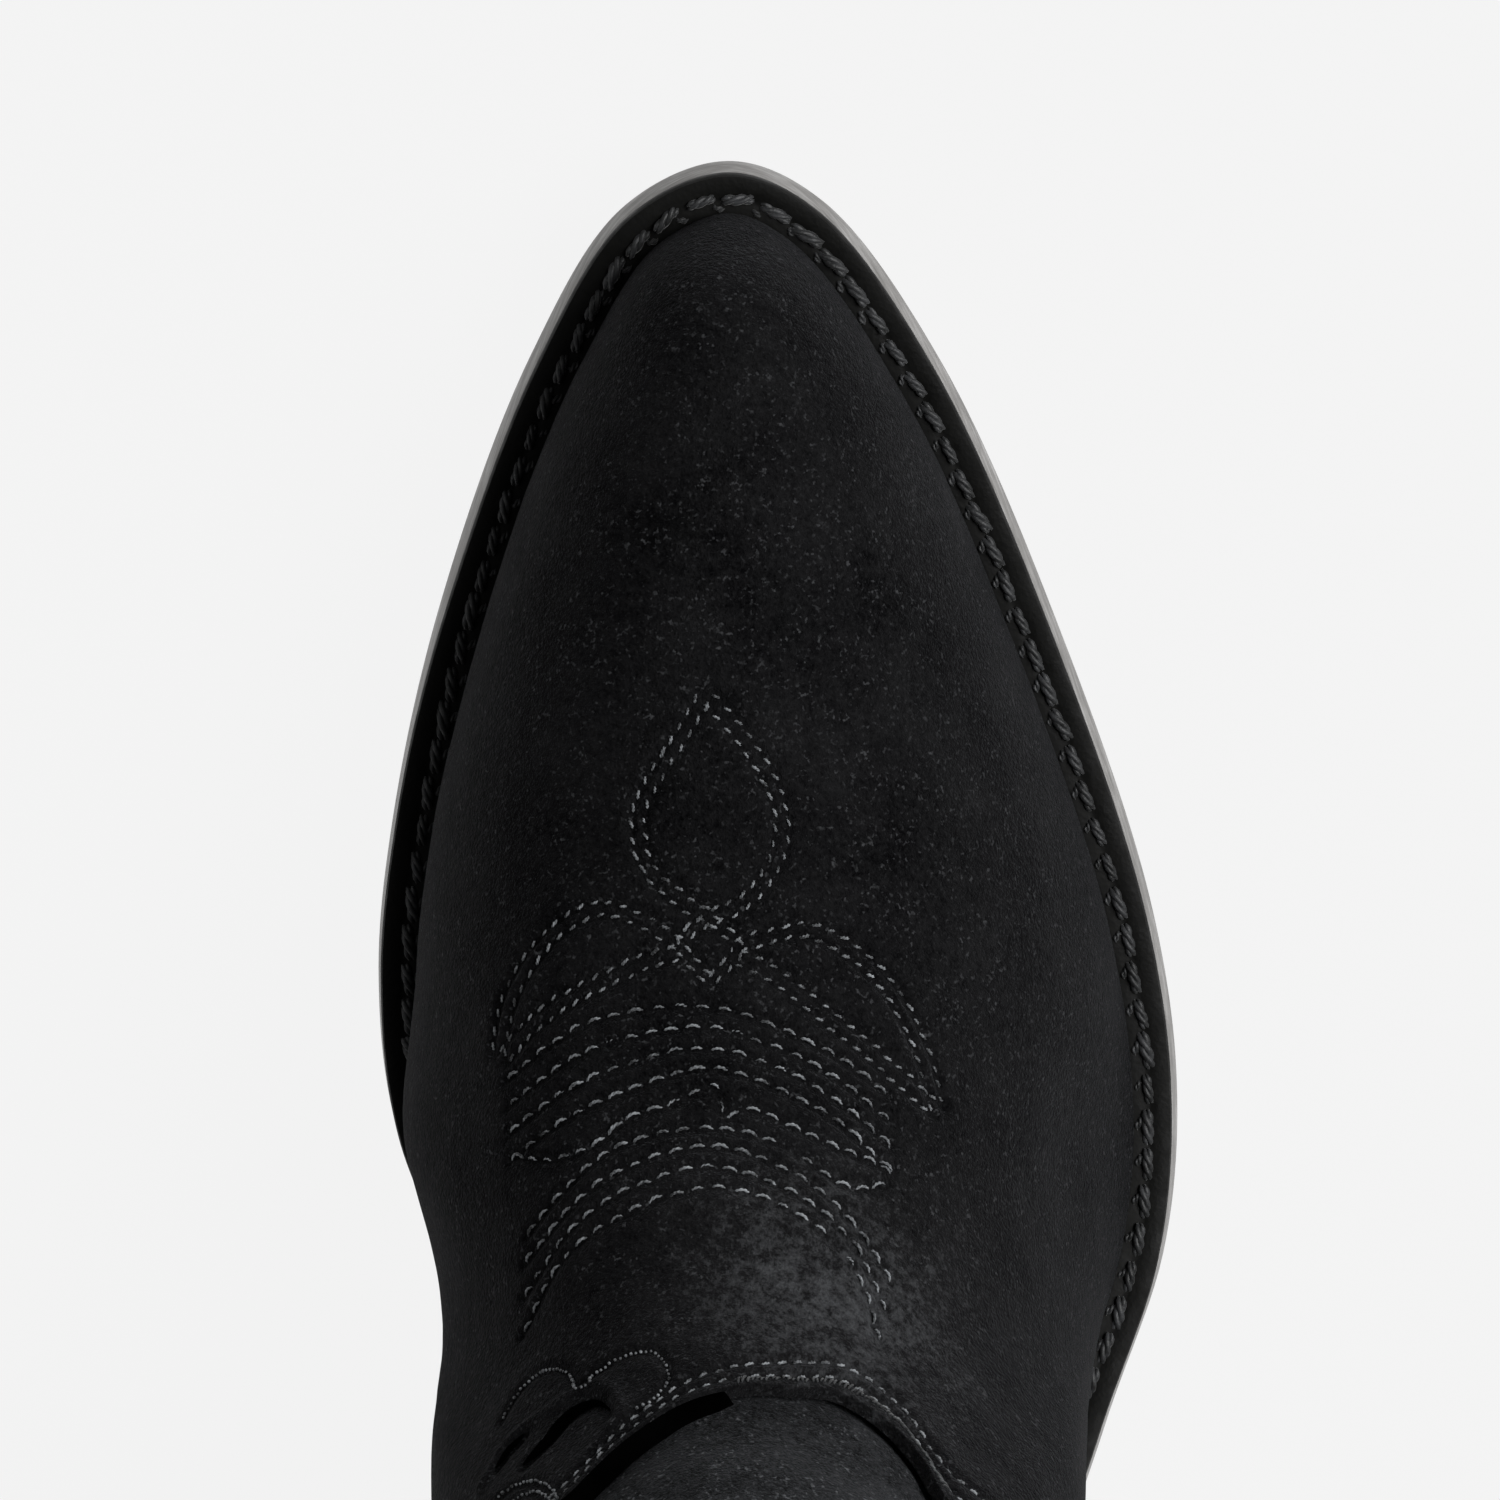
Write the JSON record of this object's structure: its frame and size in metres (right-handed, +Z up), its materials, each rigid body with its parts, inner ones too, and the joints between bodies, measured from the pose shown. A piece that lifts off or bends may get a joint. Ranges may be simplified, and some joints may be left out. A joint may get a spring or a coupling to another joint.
{
  "type": "cowboy boot",
  "caption": "Right pull-on western boot: welted leather sole, stacked heel, suede vamp and shaft with decorative stitching, pull straps and lining.",
  "frame": {"origin": "middle of the boot's box, on the surface it stands on", "axes": "+Z up, toe towards -Y, +X towards the inner (medial) side of the right foot"},
  "size_m": [0.1052, 0.305, 0.345],
  "materials": {
    "suede": "black suede, napped",
    "shaft_suede": "black suede, napped",
    "welt_leather": "black, waxed",
    "sole_leather": "grey burnished edge",
    "stacked_leather": "dark stained, burnished",
    "lining_leather": "natural lining leather",
    "board": "fibre and insole leather, raw",
    "thread": "waxed dark grey thread",
    "cork": "granulated cork",
    "rubber": "matt black",
    "steel": "plain spring steel",
    "brass": "dull brass",
    "peg_wood": "lemonwood"
  },
  "bodies": {
    "root": {"cork_filler": "cork", "counter": "suede", "heel_cap": "rubber", "heel_lift_1": "stacked_leather", "heel_lift_2": "stacked_leather", "heel_lift_3": "stacked_leather", "heel_lift_4": "stacked_leather", "heel_lift_5": "stacked_leather", "heel_lining": "lining_leather", "heel_nail_1": "brass", "heel_nail_2": "brass", "heel_nail_3": "brass", "heel_nail_4": "brass", "heel_nail_5": "brass", "heel_rand": "welt_leather", "heel_stiffener": "board", "insole": "board", "outsole": "sole_leather", "piping_lateral": "suede", "piping_medial": "suede", "pull_strap_lateral": "suede", "pull_strap_medial": "suede", "shaft_back": "shaft_suede", "shaft_front": "shaft_suede", "shaft_lining_back": "lining_leather", "shaft_lining_front": "lining_leather", "shank": "steel", "sock_liner": "lining_leather", "toe_puff": "board", "top_binding": "suede", "vamp": "suede", "vamp_lining": "lining_leather", "waist_peg_1": "peg_wood", "waist_peg_2": "peg_wood", "waist_peg_3": "peg_wood", "waist_peg_4": "peg_wood", "waist_peg_5": "peg_wood", "waist_peg_6": "peg_wood", "waist_peg_7": "peg_wood", "waist_peg_8": "peg_wood", "welt": "welt_leather", "welt_thread": "thread"}
  },
  "joints": []
}
